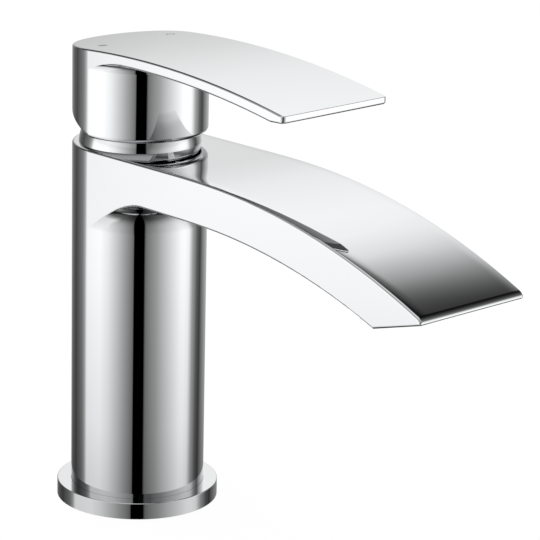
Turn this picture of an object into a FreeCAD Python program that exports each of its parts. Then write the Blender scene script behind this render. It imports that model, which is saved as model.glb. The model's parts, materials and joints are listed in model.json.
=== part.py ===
import FreeCAD, Part
import math
import os

# Basin mixer tap: a round column on a flange, an arched spout that leaves the column at full
# width, and a lever handle over a ceramic disc cartridge.
# Millimetres. The origin is the column's axis on the deck, +X is the spout's way, +Z is up.

V = FreeCAD.Vector
Y_AXIS = V(0, 1, 0)
Z_AXIS = V(0, 0, 1)

overrun = 2.0               # how far every cutting shape runs past what it cuts

# Column, its foot and what lies under it
column_radius = 21.5
foot_inset = 7.0            # the foot's edge inside the column's
gasket_thickness = 1.5
gasket_inset = 2.0          # the gasket's edge inside the flange's
gasket_play = 0.1
flange_width = 4.5          # how far the flange stands out round the column
flange_height = 5.3
flange_edge_radius = 0.3
flange_play = 0.06
flange_seal_cord_radius = 0.7
flange_seal_height = 3.2
flange_seal_play = 0.05

# Water inlets and the fixing stud's hole, in the foot
inlet_x = 5.0
inlet_y = 7.0
inlet_thread_radius = 4.5
inlet_thread_length = 14.0
waterway_radius = 3.5
stud_x = -9.5
stud_thread_radius = 3.4
stud_thread_length = 18.0

# Spout: a straight rise from the back, then two arcs that meet smoothly
spout_reach = 145.6
crown_x = 44.4
crown_height = 118.5
straight_end_x = 41.0
shoulder_radius_share = 2.585   # of the spout's reach, as are the next two
nose_radius_share = 1.632
nose_start_share = 0.373
spout_thickness = 13.8
spout_wall = 2.0
root_flare_radius = 12.0
root_flare_lap = 0.05
top_edge_radius = 0.8       # round the top and down the tip's corners
under_edge_radius = 0.8     # lower edges of the spout
tip_radius = 3.0            # where the top rolls over into the tip's front

# Outlet face at the spout's tip, and the cassette in it
blade_thickness = 1.6
outlet_angle = 16.0         # degrees, rising towards the tip
outlet_setback = 10.2
outlet_length = 26.0
outlet_width = 8.6
outlet_play = 0.05
cassette_depth = 2.6
cassette_recess = 0.4
cassette_wall = 1.0
outlet_seal_thickness = 0.6
outlet_seal_width = 0.9
outlet_shelf = 0.6
outlet_front_land = 6.4
straightener_depth = 1.8
jet_radius = 0.6
jet_columns = 11
jet_rows = 3
jet_end_margin = 3.5
jet_side_margin = 2.4

# Cartridge chamber in the column
chamber_wall = 3.8
nut_thread_step = 0.8       # the nut's thread outside the chamber's wall
shoulder_drop = 6.5         # the chamber's shoulder under the spindle's pivot
port_radius = 3.0
port_count = 3
port_pitch = 6.5
port_angle = 50.0           # degrees above level
port_drop = 17.6            # under the crown, where a port's axis leaves the chamber wall
port_length = 14.0

# Cartridge base, with its seals and locating pegs
base_play = 1.3
base_floor = 7.0
base_rim = 2.0
inlet_seal_radius = 5.0
inlet_seal_thickness = 1.2
inlet_seal_play = 0.1
peg_radius = 1.4
peg_length = 2.2
peg_x = -3.0
peg_y = 11.5
peg_play = 0.05
outlet_slot_width = 6.0
outlet_slot_height = 3.6

# Ceramic discs
fixed_disc_inset = 2.9      # the disc's edge inside the cartridge base's
fixed_disc_thickness = 3.5
fixed_disc_play = 0.1
inlet_port_radius = 3.0
mixed_port_radius = 3.2
mixed_port_x = -6.5
moving_disc_inset = 3.0     # the upper disc's edge inside the lower one's
moving_disc_thickness = 3.0
disc_film = 0.05
pocket_depth = 1.5
pocket_radius = 4.0
pocket_length = 8.0

# Carrier that the spindle's ball drives along the disc
carrier_thickness = 3.0
guide_width = 9.0
guide_length = 12.0
guide_height = 3.8
guide_play = 0.15

# Turret that turns in the housing and holds the spindle's pin
turret_flange_play = 0.5
turret_flange_thickness = 4.0
turret_gap = 0.5
turret_step = 3.5           # the neck inside the turret's flange
turret_rise = 4.0           # the turret's top over the pivot
turret_play = 0.06
turret_end_play = 0.05
pin_radius = 1.5
pin_length = 20.0
pin_seat_play = 0.02
pin_run_play = 0.05

# Spindle
pivot_drop = 2.6            # the pivot under the spout's crown
ball_arm = 14.3             # from the pivot down to the ball's centre
ball_radius = 3.0
ball_play = 0.35
ball_gap = 0.65             # between the ball and the upper disc
ball_neck_radius = 1.8
ball_neck_length = 4.3
shank_width = 6.0
shank_depth = 7.0
shank_play = 0.1
shank_end_gap = 0.6         # under the cap's ceiling
swing_room = 0.4
lift_angle = 20.0           # degrees, lever fully up

# Cartridge housing and the nut over it
housing_wall = 1.4
housing_land_play = 0.1
housing_land_gap = 0.5      # over the turret's flange
housing_flange_play = 0.2
housing_flange_thickness = 2.5
housing_seal_cord_radius = 0.9
housing_seal_play = 0.05
nut_thread_play = 0.08
nut_bore_play = 1.0
nut_wall = 1.5
nut_body_drop = 1.8         # the nut's thread ends this far under the crown
nut_hexagon_height = 6.0

# Domed cover ring between the column and the handle
dome_seat_width = 1.05      # the dome's foot outside the nut's thread
dome_wall = 1.3
dome_rise = 15.0            # the dome's opening over the pivot

# Handle: a cap of the column's width under an arched lever plate
cap_gap = 3.3               # between the spout's crown and the cap
cap_height = 29.2           # from the cap's edge to the lever's crown
cap_wall = 2.1
cap_roof = 6.6              # from the lever's crown down to the cap's ceiling
cap_edge_radius = 1.5
relief_angle = 21.0         # degrees, the cap's rear edge rises towards the back
lever_crown_x = 24.7
lever_arch_radius = 339.0
lever_reach = 87.7
lever_thickness = 3.6
lever_nose_length = 5.5     # the plate's underside rises over this length to its tip
lever_nose_rise = 1.4
lever_corner_radius = 1.6
lever_edge_radius = 0.7
lever_flare_radius = 3.6
lever_flare_lap = 0.05
hub_radius = 7.5
hub_depth = 9.1

# Grub screw that holds the handle, and the plug over its hole
grub_drop = 4.6             # under the cap's ceiling
grub_radius = 2.5
grub_length = 5.0
grub_play = 0.02
grub_socket_radius = 1.4
grub_socket_depth = 2.0
plug_radius = 3.2
plug_play = 0.05
plug_length = 3.6

# Hot and cold marks let into the lever
mark_x = -2.0
mark_y = 14.0
mark_radius = 1.5
mark_ring_width = 0.5
mark_depth = 0.4
mark_play = 0.02

# Radii, angles and heights worked out from the sizes above
flange_radius = column_radius + flange_width
foot_radius = column_radius - foot_inset
gasket_radius = flange_radius - gasket_inset
chamber_radius = column_radius - chamber_wall
nut_thread_radius = chamber_radius + nut_thread_step
dome_radius = nut_thread_radius + dome_seat_width
base_radius = chamber_radius - base_play
fixed_disc_radius = base_radius - fixed_disc_inset
moving_disc_radius = fixed_disc_radius - moving_disc_inset
housing_land_radius = chamber_radius - housing_land_play
housing_flange_radius = nut_thread_radius - housing_flange_play
housing_cavity_radius = base_radius - housing_wall
turret_flange_radius = housing_cavity_radius - turret_flange_play
turret_neck_radius = turret_flange_radius - turret_step
nut_bore_radius = turret_neck_radius + nut_bore_play
jet_column_pitch = (outlet_length - 2 * jet_end_margin) / (jet_columns - 1)
jet_row_pitch = (outlet_width - 2 * jet_side_margin) / (jet_rows - 1)
shoulder_radius = shoulder_radius_share * spout_reach
nose_radius = nose_radius_share * spout_reach
nose_start_x = nose_start_share * spout_reach
straight_angle = math.asin((straight_end_x - crown_x) / shoulder_radius)
nose_angle = math.asin((nose_start_x - crown_x) / shoulder_radius)
nose_x = crown_x + (shoulder_radius - nose_radius) * math.sin(nose_angle)
nose_height = crown_height - shoulder_radius + (shoulder_radius - nose_radius) * math.cos(nose_angle)
tip_angle = math.asin((spout_reach - nose_x) / nose_radius)
tip_height = nose_height + nose_radius * math.cos(tip_angle)
roll_angle = math.asin((spout_reach - tip_radius - nose_x) / (nose_radius - tip_radius))
roll_x = nose_x + nose_radius * math.sin(roll_angle)
roll_height = nose_height + (nose_radius - tip_radius) * math.cos(roll_angle)
cap_bottom_height = crown_height + cap_gap
lever_crown_height = cap_bottom_height + cap_height
sky_height = lever_crown_height + overrun
cap_ceiling_height = lever_crown_height - cap_roof
hub_bottom_height = cap_ceiling_height - hub_depth
grub_height = cap_ceiling_height - grub_drop
shank_top_height = cap_ceiling_height - shank_end_gap
pivot_height = crown_height - pivot_drop
dome_top_height = pivot_height + dome_rise
turret_top_height = pivot_height + turret_rise
ball_height = pivot_height - ball_arm
shank_bottom_height = ball_height + ball_neck_length
moving_disc_top = ball_height - ball_radius - ball_gap
moving_disc_bottom = moving_disc_top - moving_disc_thickness
fixed_disc_top = moving_disc_bottom - disc_film
fixed_disc_bottom = fixed_disc_top - fixed_disc_thickness
seat_height = fixed_disc_bottom - base_floor
base_top = fixed_disc_bottom + base_rim
carrier_top = moving_disc_top + carrier_thickness
turret_bottom = carrier_top + turret_gap
turret_shoulder = turret_bottom + turret_flange_thickness
shoulder_height = pivot_height - shoulder_drop
port_height = crown_height - port_drop
housing_land_height = turret_shoulder + turret_end_play + housing_land_gap
housing_seal_height = (housing_land_height + shoulder_height) / 2
nut_body_top_height = crown_height - nut_body_drop
nut_top_height = nut_body_top_height + nut_hexagon_height
lift_travel = ball_arm * math.sin(math.radians(lift_angle))
carriage_x = -lift_travel / 2
shelf_depth = cassette_recess + cassette_depth + outlet_seal_thickness + outlet_shelf


def cylinder(radius, bottom, top, x=0, y=0):
    """Upright cylinder between two heights on the axis through (x, y)."""
    return Part.makeCylinder(radius, top - bottom, V(x, y, bottom))


def ring(outer, inner, bottom, top, x=0, y=0):
    """Upright tube between two heights."""
    hole = cylinder(inner, bottom - overrun, top + overrun, x, y)
    return cylinder(outer, bottom, top, x, y).cut(hole)


def block(start, end, half_width, bottom, top):
    """Box from one x to another, centred on the XZ plane."""
    return Part.makeBox(end - start, 2 * half_width, top - bottom, V(start, -half_width, bottom))


def slab(edges, half_width):
    """Solid made by drawing a closed outline in the XZ plane out to both sides."""
    wire = Part.Wire(Part.__sortEdges__(edges))
    face = Part.Face(wire)
    face.translate(V(0, -half_width, 0))
    return face.extrude(V(0, 2 * half_width, 0))


def path(points):
    """Straight edges through points given as (x, z)."""
    corners = [V(x, 0, z) for x, z in points]
    return [Part.makeLine(a, b) for a, b in zip(corners, corners[1:])]


def arc(centre_x, centre_z, radius, first, last):
    """Arc in the XZ plane, its angles in radians from straight up towards +X."""
    angles = (first, (first + last) / 2, last)
    points = [V(centre_x + radius * math.sin(a), 0, centre_z + radius * math.cos(a)) for a in angles]
    return Part.Arc(*points).toShape()


def end_of(edge, last):
    """The (x, z) of an edge's first or last point, as it was drawn."""
    point = edge.valueAt(edge.LastParameter if last else edge.FirstParameter)
    return point.x, point.z


def spout_arcs(depth, start_x, end_x):
    """The shoulder and nose arcs at a depth under the spout's top line, between two x."""
    shoulder = shoulder_radius - depth
    nose = nose_radius - depth
    first = math.asin((start_x - crown_x) / shoulder)
    last = math.asin((end_x - nose_x) / nose)
    return [
        arc(crown_x, crown_height - shoulder_radius, shoulder, first, nose_angle),
        arc(nose_x, nose_height, nose, nose_angle, last),
    ]


def top_height(x):
    """Height of the straight rise at x, behind the spout's shoulder."""
    start = crown_height - shoulder_radius + shoulder_radius * math.cos(straight_angle)
    return start - (straight_end_x - x) * math.tan(-straight_angle)


def above_top():
    """Everything over the column's straight top and the spout's arch, down to the tip's front."""
    rear = -column_radius - overrun
    ahead = spout_reach + overrun
    arcs = spout_arcs(0, straight_end_x, roll_x)
    arcs.append(arc(spout_reach - tip_radius, roll_height, tip_radius, roll_angle, math.pi / 2))
    front, tip = end_of(arcs[0], False), end_of(arcs[2], True)
    outline = path([tip, (ahead, tip[1]), (ahead, sky_height), (rear, sky_height),
                    (rear, top_height(rear)), front])
    return slab(arcs + outline, column_radius + overrun)


def in_outlet_frame(shape):
    """Place a shape drawn with the outlet face as its floor and the tip's lower edge as its origin."""
    turn = FreeCAD.Rotation(Y_AXIS, -outlet_angle)
    shape.Placement = FreeCAD.Placement(V(spout_reach, 0, tip_height - blade_thickness), turn)
    return shape


def under_outlet(depth):
    """The space under a plane that lies a depth inside the outlet face."""
    back = 2 * spout_thickness
    return in_outlet_frame(block(-back, overrun, column_radius + overrun, -spout_thickness, depth))


def stadium(length, width, bottom, top):
    """Round-ended prism across the spout, in the outlet's own frame."""
    offset = (length - width) / 2
    middle = Part.makeBox(width, 2 * offset, top - bottom, V(-outlet_setback - width / 2, -offset, bottom))
    ends = [cylinder(width / 2, bottom, top, -outlet_setback, side * offset) for side in (-1, 1)]
    return in_outlet_frame(middle.fuse(ends).removeSplitter())


def flare(radius, bottom_height, flare_radius):
    """Quarter-round flare around a cylinder, on the front half and no wider than the cylinder."""
    top = bottom_height + flare_radius
    inner = radius - flare_radius
    start, end = V(radius, 0, bottom_height), V(radius + flare_radius, 0, top)
    bend = flare_radius * math.sqrt(0.5)
    middle = V(radius + flare_radius - bend, 0, bottom_height + bend)
    edges = [Part.Arc(start, middle, end).toShape()]
    edges += path([(end.x, top), (inner, top), (inner, bottom_height), (radius, bottom_height)])
    solid = Part.Face(Part.Wire(Part.__sortEdges__(edges))).revolve(V(0, 0, 0), Z_AXIS, 360)
    return solid.common(block(0, end.x + overrun, radius, bottom_height - overrun, top + overrun))


def middle_of(edge):
    """Point halfway along an edge."""
    return edge.valueAt((edge.FirstParameter + edge.LastParameter) / 2)


def rim_edges(shape, height_at, front):
    """Edges round a shape's top: those that follow its top line, and across it only past the front."""
    found = []
    for edge in shape.Edges:
        middle, box = middle_of(edge), edge.BoundBox
        level = abs(middle.z - height_at(middle.x)) < top_edge_radius / 10
        seam = box.YLength > column_radius and box.XLength < top_edge_radius and middle.x < front
        if level and not seam:
            found.append(edge)
    return found


def spout_top(x):
    """Height of the body's top line at x."""
    if x < straight_end_x:
        return top_height(x)
    if x < nose_start_x:
        return crown_height - shoulder_radius + math.sqrt(shoulder_radius ** 2 - (x - crown_x) ** 2)
    if x < roll_x:
        return nose_height + math.sqrt(nose_radius ** 2 - (x - nose_x) ** 2)
    ahead = x - (spout_reach - tip_radius)
    return roll_height + math.sqrt(max(0, tip_radius ** 2 - ahead ** 2))


def under_edges(shape):
    """Lower outer edges of the spout, along both sides and across the tip."""
    found = []
    for edge in shape.Edges:
        middle, box = middle_of(edge), edge.BoundBox
        low = middle.z < spout_top(middle.x) - 2 * under_edge_radius and middle.x > column_radius
        side = low and abs(abs(middle.y) - column_radius) < top_edge_radius / 10
        low = middle.z < tip_height - blade_thickness + under_edge_radius
        tip = low and middle.x > spout_reach - top_edge_radius
        upright = box.XLength + box.YLength < under_edge_radius
        if (side or tip) and not upright:
            found.append(edge)
    return found


def tip_corners(shape, reach):
    """The two upright edges at a tip."""
    return [e for e in shape.Edges if e.BoundBox.ZLength > 0 and e.BoundBox.YLength < top_edge_radius
            and e.BoundBox.XLength < top_edge_radius and e.BoundBox.XMin > reach - top_edge_radius]


def body_form():
    """Outside of the body: column, spout and the flare between them, before it is hollowed."""
    column = cylinder(column_radius, gasket_thickness, sky_height)
    arcs = spout_arcs(spout_thickness, crown_x, spout_reach)
    under = crown_height - spout_thickness
    tip = end_of(arcs[1], True)
    outline = path([tip, (tip[0], sky_height), (0, sky_height), (0, under), (crown_x, under)])
    spout = slab(arcs + outline, column_radius)
    root = flare(column_radius, under + root_flare_lap - root_flare_radius, root_flare_radius)
    form = column.fuse([spout, root]).cut(above_top()).cut(under_outlet(0)).removeSplitter()
    rim = rim_edges(form, spout_top, spout_reach + tip_radius)
    return form.makeFillet(top_edge_radius, rim + tip_corners(form, spout_reach))


def spout_channel():
    """Waterway inside the spout, from behind the column's wall to the shelf over the outlet."""
    start = column_radius + spout_wall
    roof = spout_arcs(spout_wall, start, spout_reach)
    floor = spout_arcs(spout_thickness - spout_wall, start, spout_reach)
    ends = path([end_of(roof[0], False), end_of(floor[0], False)])
    ends += path([end_of(roof[1], True), end_of(floor[1], True)])
    channel = slab(roof + floor + ends, column_radius - spout_wall)
    front = block(-outlet_front_land, overrun, column_radius, -spout_thickness, spout_thickness)
    return channel.cut([under_outlet(shelf_depth), in_outlet_frame(front)])


def chamber_ports():
    """Drillings that rise from the cartridge chamber into the spout's waterway."""
    rise = math.radians(port_angle)
    way = V(math.cos(rise), 0, math.sin(rise))
    start = V(chamber_radius, 0, port_height) - way * port_radius * 2
    ports = []
    for index in range(port_count):
        side = V(0, (index - (port_count - 1) / 2) * port_pitch, 0)
        ports.append(Part.makeCylinder(port_radius, port_length, start + side, way))
    return ports


def body_casting():
    """Body with its foot, chamber, waterways, inlets, stud hole and outlet."""
    foot = cylinder(foot_radius, 0, gasket_thickness)
    cuts = [
        cylinder(chamber_radius, seat_height, sky_height),
        cylinder(nut_thread_radius, shoulder_height, sky_height),
        spout_channel(),
        stadium(outlet_length + 2 * outlet_play, outlet_width + 2 * outlet_play, -overrun,
                cassette_recess + cassette_depth + outlet_seal_thickness),
        stadium(outlet_length - 2 * outlet_seal_width, outlet_width - 2 * outlet_seal_width, 0,
                shelf_depth + spout_wall / 2),
        cylinder(stud_thread_radius, -overrun, stud_thread_length, stud_x),
        flange_seal_groove(),
    ]
    for side in (-1, 1):
        cuts.append(cylinder(inlet_thread_radius, -overrun, inlet_thread_length, inlet_x, side * inlet_y))
        cuts.append(cylinder(waterway_radius, 0, seat_height + overrun, inlet_x, side * inlet_y))
        cuts.append(cylinder(peg_radius + peg_play, seat_height - peg_length - peg_play,
                             seat_height + overrun, peg_x, side * peg_y))
    body = body_form().fuse(foot).removeSplitter().cut(cuts + chamber_ports())
    return body.makeFillet(under_edge_radius, under_edges(body))


def flange_seal_groove():
    """Groove round the column's foot for the flange's seal."""
    half = flange_seal_cord_radius + flange_seal_play
    floor = column_radius - 2 * flange_seal_cord_radius - flange_seal_play
    return ring(column_radius + overrun, floor, flange_seal_height - half, flange_seal_height + half)


def flange_seal():
    """Rubber ring between the column and the flange."""
    centre = column_radius - flange_seal_cord_radius
    return Part.makeTorus(centre, flange_seal_cord_radius, V(0, 0, flange_seal_height))


def base_flange():
    """Ring that covers the joint between the column and the deck."""
    disc = cylinder(flange_radius, 0, flange_height)
    top = [e for e in disc.Edges if e.BoundBox.ZMin > flange_height / 2]
    disc = disc.makeFillet(flange_edge_radius, top)
    bore = cylinder(column_radius + flange_play, -overrun, flange_height + overrun)
    recess = cylinder(gasket_radius + gasket_play, -overrun, gasket_thickness)
    return disc.cut([bore, recess])


def base_gasket():
    """Flat rubber ring under the column and the flange."""
    return ring(gasket_radius, foot_radius + gasket_play, 0, gasket_thickness)


def cover_ring():
    """Domed ring that stands on the body's top and hides the nut."""
    outer = Part.makeSphere(dome_radius, V(0, 0, pivot_height))
    inner = Part.makeSphere(dome_radius - dome_wall, V(0, 0, pivot_height))
    band = cylinder(dome_radius + overrun, pivot_height - overrun, dome_top_height)
    return outer.cut(inner).common(band).common(above_top())


def retaining_nut():
    """Nut that holds the cartridge down, with a hexagon above its thread."""
    bottom = shoulder_height + housing_flange_thickness
    thread = cylinder(nut_thread_radius - nut_thread_play, bottom, nut_body_top_height)
    corner = 2 * (nut_bore_radius + nut_wall) / math.sqrt(3)
    turns = [math.radians(60 * index) for index in range(7)]
    corners = [V(corner * math.cos(t), corner * math.sin(t), nut_body_top_height) for t in turns]
    hexagon = Part.Face(Part.makePolygon(corners)).extrude(V(0, 0, nut_top_height - nut_body_top_height))
    bore = cylinder(nut_bore_radius, bottom - overrun, nut_top_height + overrun)
    return thread.fuse(hexagon).removeSplitter().cut(bore)


def cartridge_housing():
    """Plastic housing of the cartridge: skirt, sealing land and flange under the nut."""
    top = shoulder_height + housing_flange_thickness
    solid = cylinder(base_radius, base_top, top)
    solid = solid.fuse([
        cylinder(housing_land_radius, housing_land_height, top),
        cylinder(housing_flange_radius, shoulder_height, top),
    ]).removeSplitter()
    half = housing_seal_cord_radius + housing_seal_play
    floor = chamber_radius - 2 * housing_seal_cord_radius - housing_seal_play
    groove = ring(chamber_radius, floor, housing_seal_height - half, housing_seal_height + half)
    cavity = cylinder(housing_cavity_radius, base_top - overrun, turret_shoulder + turret_end_play)
    neck = cylinder(turret_neck_radius + turret_play, base_top, top + overrun)
    return solid.cut([groove, cavity, neck])


def housing_seal():
    """Rubber ring that seals the housing against the chamber."""
    centre = chamber_radius - housing_seal_cord_radius
    return Part.makeTorus(centre, housing_seal_cord_radius, V(0, 0, housing_seal_height))


def cartridge_base():
    """Plastic base: inlets with seal seats, a mixed-water outlet to its side, and pegs."""
    solid = cylinder(base_radius, seat_height, base_top)
    peg_bottom = seat_height - peg_length
    pegs = [cylinder(peg_radius, peg_bottom, seat_height, peg_x, side * peg_y) for side in (-1, 1)]
    solid = solid.fuse(pegs).removeSplitter()
    slot_top = fixed_disc_bottom - outlet_slot_height / 2
    slot_bottom = slot_top - outlet_slot_height
    cuts = [
        cylinder(fixed_disc_radius + fixed_disc_play, fixed_disc_bottom, base_top + overrun),
        cylinder(mixed_port_radius, slot_bottom, base_top + overrun, mixed_port_x),
        block(-base_radius - overrun, mixed_port_x, outlet_slot_width / 2, slot_bottom, slot_top),
    ]
    seat = inlet_seal_radius + inlet_seal_play
    for side in (-1, 1):
        y = side * inlet_y
        cuts.append(cylinder(inlet_port_radius, seat_height - overrun, base_top + overrun, inlet_x, y))
        cuts.append(cylinder(seat, seat_height - overrun, seat_height + inlet_seal_thickness, inlet_x, y))
    return solid.cut(cuts)


def inlet_seals():
    """Two rubber rings between the inlets and the cartridge base."""
    top = seat_height + inlet_seal_thickness
    inner = waterway_radius
    return Part.makeCompound([
        ring(inlet_seal_radius, inner, seat_height, top, inlet_x, side * inlet_y) for side in (-1, 1)
    ])


def fixed_disc():
    """Lower ceramic disc with its two inlet ports and the mixed-water port."""
    bottom, top = fixed_disc_bottom - overrun, fixed_disc_top + overrun
    cuts = [cylinder(mixed_port_radius, bottom, top, mixed_port_x)]
    cuts += [cylinder(inlet_port_radius, bottom, top, inlet_x, side * inlet_y) for side in (-1, 1)]
    return cylinder(fixed_disc_radius, fixed_disc_bottom, fixed_disc_top).cut(cuts)


def moving_disc():
    """Upper ceramic disc, with the mixing pocket in its underside."""
    disc = cylinder(moving_disc_radius, moving_disc_bottom, moving_disc_top, carriage_x)
    top = moving_disc_bottom + pocket_depth
    bottom = moving_disc_bottom - overrun
    rear = carriage_x - pocket_length / 2
    front = carriage_x + pocket_length / 2
    pocket = block(rear, front, pocket_radius, bottom, top)
    return disc.cut([pocket] + [cylinder(pocket_radius, bottom, top, x) for x in (rear, front)])


def disc_carrier():
    """Carrier on the upper disc, with a guide block and the socket for the spindle's ball."""
    plate = cylinder(moving_disc_radius, moving_disc_top, carrier_top, carriage_x)
    guide_top = carrier_top + guide_height
    guide = block(carriage_x - guide_length / 2, carriage_x + guide_length / 2, guide_width / 2,
                  carrier_top, guide_top)
    socket = cylinder(ball_radius + ball_play, moving_disc_top - overrun, guide_top + overrun)
    return plate.fuse(guide).removeSplitter().cut(socket)


def turret():
    """Turning piece: a flange with the carrier's guide way, and a neck that holds the pin."""
    solid = cylinder(turret_flange_radius, turret_bottom, turret_shoulder)
    solid = solid.fuse(cylinder(turret_neck_radius, turret_shoulder, turret_top_height)).removeSplitter()
    way = block(-turret_flange_radius - overrun, turret_flange_radius + overrun,
                guide_width / 2 + guide_play, turret_bottom - overrun, turret_shoulder)
    lean = math.radians(lift_angle)
    reach = shank_depth / 2 / math.cos(lean) + swing_room
    rear = -(turret_top_height - pivot_height) * math.tan(lean) - reach
    front = (pivot_height - shank_bottom_height) * math.tan(lean) + reach
    slot = block(rear, front, shank_width / 2 + shank_play, turret_bottom, turret_top_height + overrun)
    return solid.cut([way, slot, pin_shape(pin_seat_play, pin_length + 2 * overrun)])


def pin_shape(play, length):
    """Level cylinder along Y through the spindle's pivot."""
    return Part.makeCylinder(pin_radius + play, length, V(0, -length / 2, pivot_height), Y_AXIS)


def spindle_pin():
    """Steel pin that the spindle rocks on."""
    return pin_shape(0, pin_length)


def spindle():
    """Lever spindle: a flat-sided shank, the pin's hole and a ball on a neck."""
    shank = block(-shank_depth / 2, shank_depth / 2, shank_width / 2, shank_bottom_height, shank_top_height)
    neck = cylinder(ball_neck_radius, ball_height, shank_bottom_height + overrun)
    ball = Part.makeSphere(ball_radius, V(0, 0, ball_height))
    solid = shank.fuse([neck, ball]).removeSplitter()
    return solid.cut(pin_shape(pin_run_play, pin_length))


def lever_top(x):
    """Height of the lever's top line at x."""
    drop = math.sqrt(lever_arch_radius ** 2 - (x - lever_crown_x) ** 2)
    return lever_crown_height - lever_arch_radius + drop


def lever_band(upper, lower, start, end, half_width):
    """Part of the lever between two depths under its top line."""
    centre = lever_crown_height - lever_arch_radius
    arcs = []
    for depth in (upper, lower):
        radius = lever_arch_radius - depth
        first = math.asin((start - lever_crown_x) / radius)
        last = math.asin((end - lever_crown_x) / radius)
        arcs.append(arc(lever_crown_x, centre, radius, first, last))
    ends = [path([end_of(arcs[0], last), end_of(arcs[1], last)])[0] for last in (False, True)]
    return slab(arcs + ends, half_width)


def nose_relief():
    """Wedge that lifts the plate's underside towards its tip."""
    radius = lever_arch_radius - lever_thickness
    centre = lever_crown_height - lever_arch_radius
    start, ahead = lever_reach - lever_nose_length, lever_reach + overrun
    low = centre + math.sqrt(radius ** 2 - (start - lever_crown_x) ** 2)
    tip = centre + math.sqrt(radius ** 2 - (lever_reach - lever_crown_x) ** 2) + lever_nose_rise
    high = low + (tip - low) * (ahead - start) / lever_nose_length
    floor = min(low, high) - lever_thickness
    outline = path([(start, low), (ahead, high), (ahead, floor), (start, floor), (start, low)])
    return slab(outline, column_radius + overrun)


def handle_form():
    """Outside of the handle: cap, lever plate and the small flare between them."""
    side = column_radius + overrun
    under_top = lever_band(0, sky_height - cap_bottom_height + lever_thickness, -side, side, side)
    cap = cylinder(column_radius, cap_bottom_height, sky_height).common(under_top)
    plate = lever_band(0, lever_thickness, 0, lever_reach, column_radius)
    under = lever_top(column_radius + lever_flare_radius) - lever_thickness
    root = flare(column_radius, under + lever_flare_lap - lever_flare_radius, lever_flare_radius)
    form = cap.fuse([plate, root]).removeSplitter().cut([rear_relief(), nose_relief()])
    form = form.makeFillet(lever_corner_radius, tip_corners(form, lever_reach))
    form = form.makeFillet(lever_edge_radius, rim_edges(form, lever_top, lever_reach - lever_corner_radius))
    return form.makeFillet(cap_edge_radius, cap_rim(form))


def cap_rim(shape):
    """Lower outer edges of the cap, level in front and rising at the back."""
    boxes = [(edge, edge.BoundBox) for edge in shape.Edges]
    return [edge for edge, box in boxes if box.ZMax < hub_bottom_height and box.XLength > cap_edge_radius]


def rear_relief():
    """Wedge that lifts the cap's rear edge, so that the handle can tip back."""
    rear = -column_radius - overrun
    rise = -rear * math.tan(math.radians(relief_angle))
    base = cap_bottom_height
    outline = path([(0, base), (rear, base + rise), (rear, base - overrun), (0, base - overrun), (0, base)])
    return slab(outline, column_radius + overrun)


def handle():
    """Hollow handle with the hub for the spindle, the screw's holes and the marks' pockets."""
    form = handle_form()
    inner = column_radius - cap_wall
    hollow = cylinder(inner, cap_bottom_height - overrun, cap_ceiling_height)
    hub = cylinder(hub_radius, hub_bottom_height, cap_ceiling_height + overrun)
    half_depth = shank_depth / 2 + shank_play
    socket = block(-half_depth, half_depth, shank_width / 2 + shank_play, hub_bottom_height - overrun,
                   shank_top_height + shank_play)
    cuts = [socket, plug_hole()]
    cuts.append(grub_shape(grub_radius + grub_play, hub_radius + overrun, hub_radius + overrun))
    cuts += [mark(side, mark_play) for side in (-1, 1)]
    return form.cut(hollow).fuse(hub).removeSplitter().cut(cuts)


def grub_shape(radius, start, length):
    """Level cylinder at the grub screw's height that runs forward from a distance behind the axis."""
    return Part.makeCylinder(radius, length, V(-start, 0, grub_height), V(1, 0, 0))


def grub_screw():
    """Grub screw in the hub, with a socket for its key, set against the spindle."""
    start = shank_depth / 2 + grub_length
    screw = grub_shape(grub_radius, start, grub_length)
    return screw.cut(grub_shape(grub_socket_radius, start, grub_socket_depth))


def plug_hole():
    """Hole through the cap's rear wall."""
    return grub_shape(plug_radius, column_radius + overrun, overrun + cap_wall + overrun)


def screw_plug():
    """Plug that closes the grub screw's hole, flush with the cap."""
    plug = grub_shape(plug_radius - plug_play, column_radius, plug_length)
    return plug.common(cylinder(column_radius, cap_bottom_height, sky_height))


def mark(side, play):
    """Round inlay in the lever's top: a dot on the hot side, a ring on the cold side."""
    bottom, top = cap_ceiling_height, sky_height
    y = side * mark_y
    shape = cylinder(mark_radius + play, bottom, top, mark_x, y)
    if side > 0:
        shape = shape.cut(cylinder(mark_radius - mark_ring_width - play, bottom, top, mark_x, y))
    return shape.common(lever_band(0, mark_depth + play, -column_radius, column_radius, column_radius))


def outlet_housing():
    """Frame of the outlet cassette."""
    top = cassette_recess + cassette_depth
    frame = stadium(outlet_length, outlet_width, cassette_recess, top)
    inside = stadium(outlet_length - 2 * cassette_wall, outlet_width - 2 * cassette_wall, 0, top + overrun)
    return frame.cut(inside)


def outlet_seal():
    """Rubber gasket between the cassette and the shelf over it."""
    bottom = cassette_recess + cassette_depth
    top = bottom + outlet_seal_thickness
    inner = 2 * outlet_seal_width
    gasket = stadium(outlet_length, outlet_width, bottom, top)
    return gasket.cut(stadium(outlet_length - inner, outlet_width - inner, 0, top + overrun))


def flow_straightener():
    """Plate of small jets in the cassette."""
    margin = 2 * cassette_wall + 2 * outlet_play
    bottom = cassette_recess + cassette_depth - straightener_depth
    top = cassette_recess + cassette_depth
    plate = stadium(outlet_length - margin, outlet_width - margin, bottom, top)
    jets = []
    for column in range(jet_columns):
        for row in range(jet_rows):
            x = (row - (jet_rows - 1) / 2) * jet_row_pitch - outlet_setback
            y = (column - (jet_columns - 1) / 2) * jet_column_pitch
            jets.append(in_outlet_frame(cylinder(jet_radius, 0, top + overrun, x, y)))
    return plate.cut(jets)


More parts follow.
